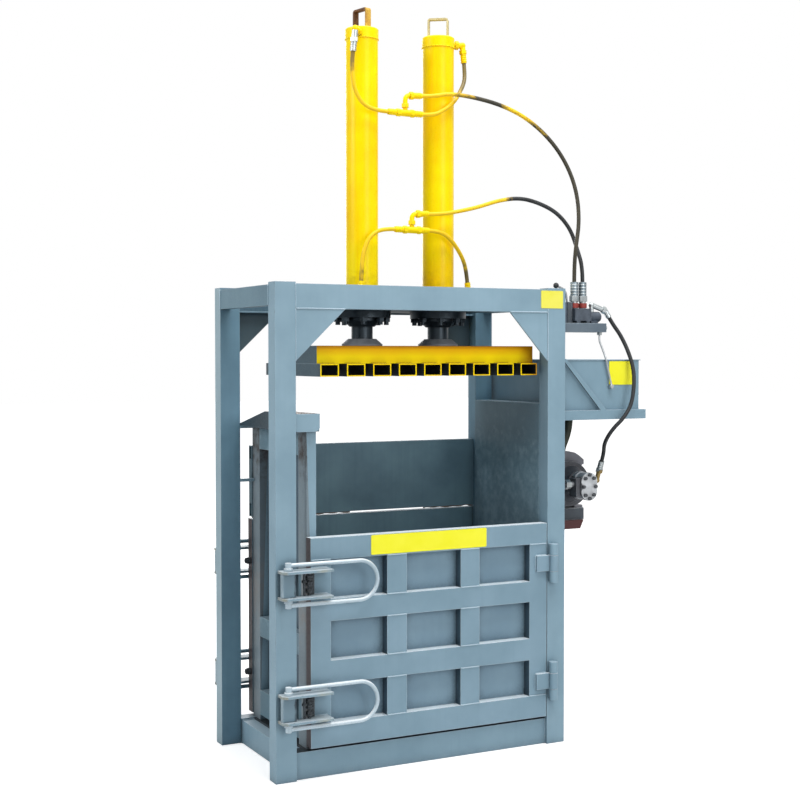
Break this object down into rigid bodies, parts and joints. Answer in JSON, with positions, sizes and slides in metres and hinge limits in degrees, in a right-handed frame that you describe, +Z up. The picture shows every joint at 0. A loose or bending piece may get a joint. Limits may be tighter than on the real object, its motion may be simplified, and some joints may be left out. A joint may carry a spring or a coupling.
{
  "type": "vertical recycling baler",
  "caption": "Vertical hydraulic baler: welded frame, ribbed chamber doors with U-handle latches, platen on tall cylinders, oil tank, valve and motor pump at the side.",
  "frame": {"origin": "centre of the frame's footprint, on the floor under the middle floor bearer", "axes": "+Z up, -Y towards the front door, +X towards the oil tank and the motor"},
  "size_m": [1.722, 0.784, 3.037],
  "materials": {
    "paint_blue": "worn grey-blue machine enamel, brushed on over welded steel",
    "paint_yellow": "bright yellow enamel with overspray",
    "floor_steel": "grey-blue enamel worn to steel inside the chamber",
    "pin_steel": "dull turned steel with a film of rust",
    "rod_black": "oiled black-coated steel",
    "fitting_steel": "zinc-plated hydraulic fittings",
    "hose_rubber": "smooth hydraulic hose cover, partly oversprayed yellow",
    "suction_rubber": "thick low-pressure hose cover",
    "valve_iron": "grey cast valve block",
    "lever_steel": "plated lever with a black knob",
    "pump_aluminium": "die-cast aluminium, satin",
    "motor_paint": "dark grey-blue enamel on a ribbed casting",
    "bell_iron": "grey painted casting",
    "base_red": "red-brown primer",
    "lug_steel": "flat bar, partly oversprayed",
    "pipe_plated": "thin plated pipe"
  },
  "bodies": {
    "frame": {"post_front_left": "paint_blue", "post_front_right": "paint_blue", "post_rear_left": "paint_blue", "post_rear_right": "paint_blue", "top_beams_cross": "paint_blue", "top_beams_side": "paint_blue", "corner_gussets": "paint_blue", "crown_plate": "paint_blue", "crown_channels": "paint_blue", "base_beams_cross": "paint_blue", "base_beams_side": "paint_blue", "floor_bearers": "paint_blue", "chamber_floor": "floor_steel", "left_wall_posts": "paint_blue", "left_wall_panel": "paint_blue", "left_wall_cap": "paint_blue", "right_wall_panel": "paint_blue", "rear_upper_panel": "paint_blue", "post_hinge_knuckles": "paint_blue", "cylinder_barrel_left": "paint_yellow", "cylinder_barrel_right": "paint_yellow", "cylinder_end_caps": "paint_yellow", "lifting_lugs": "lug_steel", "gland_nuts": "rod_black", "flange_bolts": "rod_black", "hose_tees": "fitting_steel", "port_fittings": "fitting_steel", "jumper_hose_upper_left": "hose_rubber", "jumper_hose_upper_right": "hose_rubber", "jumper_hose_lower_left": "hose_rubber", "jumper_hose_lower_right": "hose_rubber", "feed_hose_upper": "hose_rubber", "feed_hose_lower": "hose_rubber", "pump_hose": "hose_rubber", "suction_hose": "suction_rubber", "valve_body": "valve_iron", "valve_bracket": "paint_blue", "valve_fittings": "fitting_steel", "return_pipe": "pipe_plated", "tank_body": "paint_blue", "tank_lid": "paint_blue", "tank_shelf": "paint_blue", "motor_body": "motor_paint", "motor_fan_cowl": "motor_paint", "terminal_box": "motor_paint", "bell_housing": "bell_iron", "gear_pump": "pump_aluminium", "motor_base": "base_red"},
    "platen": {"platen_box": "paint_yellow", "platen_tubes": "paint_yellow", "piston_rods": "rod_black", "pistons": "pin_steel"},
    "front_door": {"front_door": "paint_blue"},
    "rear_door": {"rear_door": "paint_blue"},
    "latch_front_upper": {"latch_handle_front_upper": "paint_blue"},
    "latch_front_lower": {"latch_handle_front_lower": "paint_blue"},
    "latch_rear_upper": {"latch_handle_rear_upper": "paint_blue"},
    "latch_rear_lower": {"latch_handle_rear_lower": "paint_blue"},
    "valve_lever": {"valve_lever": "lever_steel"},
    "motor_rotor": {"motor_shaft": "pin_steel"}
  },
  "joints": [
    {"name": "platen_stroke", "type": "slide", "parent": "frame", "child": "platen", "axis": [0, 0, -1], "range_m": [0, 0.95]},
    {"name": "front_door_hinge", "type": "hinge", "parent": "frame", "child": "front_door", "pos_m": [0.585, -0.349, 0.5], "axis": [0, 0, 1], "range_deg": [0, 120]},
    {"name": "rear_door_hinge", "type": "hinge", "parent": "frame", "child": "rear_door", "pos_m": [0.585, 0.349, 0.5], "axis": [0, 0, -1], "range_deg": [0, 120]},
    {"name": "latch_front_upper_swing", "type": "hinge", "parent": "front_door", "child": "latch_front_upper", "pos_m": [-0.612, -0.364, 0.7575], "axis": [0, 0, -1], "range_deg": [0, 170]},
    {"name": "latch_front_lower_swing", "type": "hinge", "parent": "front_door", "child": "latch_front_lower", "pos_m": [-0.612, -0.364, 0.288], "axis": [0, 0, -1], "range_deg": [0, 170]},
    {"name": "latch_rear_upper_swing", "type": "hinge", "parent": "rear_door", "child": "latch_rear_upper", "pos_m": [-0.612, 0.364, 0.7575], "axis": [0, 0, 1], "range_deg": [0, 170]},
    {"name": "latch_rear_lower_swing", "type": "hinge", "parent": "rear_door", "child": "latch_rear_lower", "pos_m": [-0.612, 0.364, 0.288], "axis": [0, 0, 1], "range_deg": [0, 170]},
    {"name": "valve_lever_throw", "type": "hinge", "parent": "frame", "child": "valve_lever", "pos_m": [0.713, -0.25, 1.8], "axis": [0, 1, 0], "range_deg": [-10, 10], "stiffness_Nm_per_rad": 20},
    {"name": "motor_spin", "type": "hinge", "parent": "frame", "child": "motor_rotor", "pos_m": [0.848, 0, 1.056], "axis": [0, 1, 0], "continuous": true}
  ]
}
